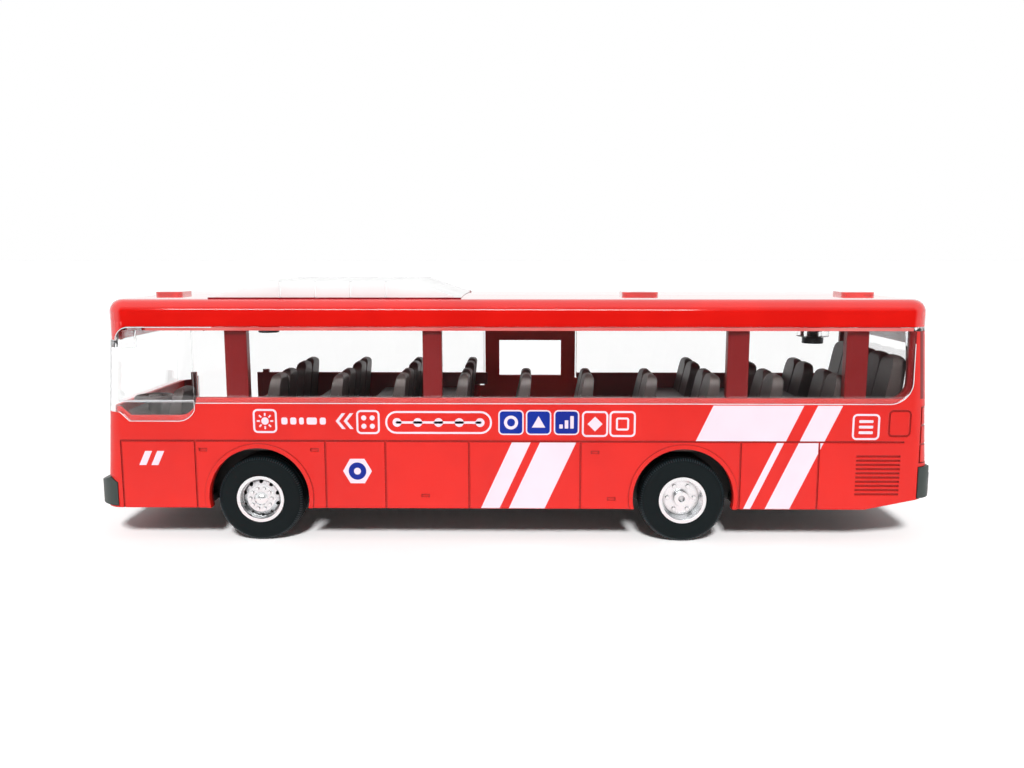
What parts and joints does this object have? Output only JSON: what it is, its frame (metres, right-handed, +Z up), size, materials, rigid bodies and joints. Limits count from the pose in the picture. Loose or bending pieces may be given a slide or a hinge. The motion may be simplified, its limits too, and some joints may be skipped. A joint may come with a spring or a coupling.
{
  "type": "toy bus",
  "caption": "Toy city bus with a clear window shell, seats inside, rolling wheels and a middle door that swings open.",
  "frame": {"origin": "on the ground under the middle of the bus", "axes": "+Z up, the front of the bus points to -X, the driver's side to -Y and the door side to +Y"},
  "size_m": [0.1814, 0.0446, 0.056],
  "materials": {
    "red_body": "moulded red plastic, glossy",
    "red_roof": "moulded red plastic, glossy",
    "white_pod": "moulded white plastic",
    "clear_shell": "moulded clear plastic",
    "grey_tray": "moulded warm grey plastic",
    "black_chassis": "moulded black plastic",
    "grey_bumper": "moulded dark grey plastic",
    "tyre_rubber": "soft black vinyl",
    "rim_plating": "bright plated plastic",
    "axle_steel": "drawn steel"
  },
  "bodies": {
    "bus": {"body_shell": "red_body", "roof": "red_roof", "roof_pod": "white_pod", "glazing": "clear_shell", "seat_tray": "grey_tray", "steering_wheel": "grey_tray", "chassis": "black_chassis", "front_bumper": "grey_bumper", "rear_bumper": "grey_bumper", "chassis_screws": "axle_steel", "roof_screws": "axle_steel"},
    "front_wheels": {"front_axle": "axle_steel", "tyre_front_left": "tyre_rubber", "tyre_front_right": "tyre_rubber", "rim_front_left": "rim_plating", "rim_front_right": "rim_plating"},
    "rear_wheels": {"rear_axle": "axle_steel", "tyre_rear_left": "tyre_rubber", "tyre_rear_right": "tyre_rubber", "rim_rear_left": "rim_plating", "rim_rear_right": "rim_plating"},
    "middle_door": {"middle_door": "red_body"}
  },
  "joints": [
    {"name": "front_axle_spin", "type": "hinge", "parent": "bus", "child": "front_wheels", "pos_m": [-0.0552, 0, 0.0092], "axis": [0, 1, 0], "continuous": true},
    {"name": "rear_axle_spin", "type": "hinge", "parent": "bus", "child": "rear_wheels", "pos_m": [0.036, 0, 0.0092], "axis": [0, 1, 0], "continuous": true},
    {"name": "middle_door_hinge", "type": "hinge", "parent": "bus", "child": "middle_door", "pos_m": [-0.0104, 0.0211, 0.02], "axis": [0, 0, 1], "range_deg": [0, 80]}
  ]
}
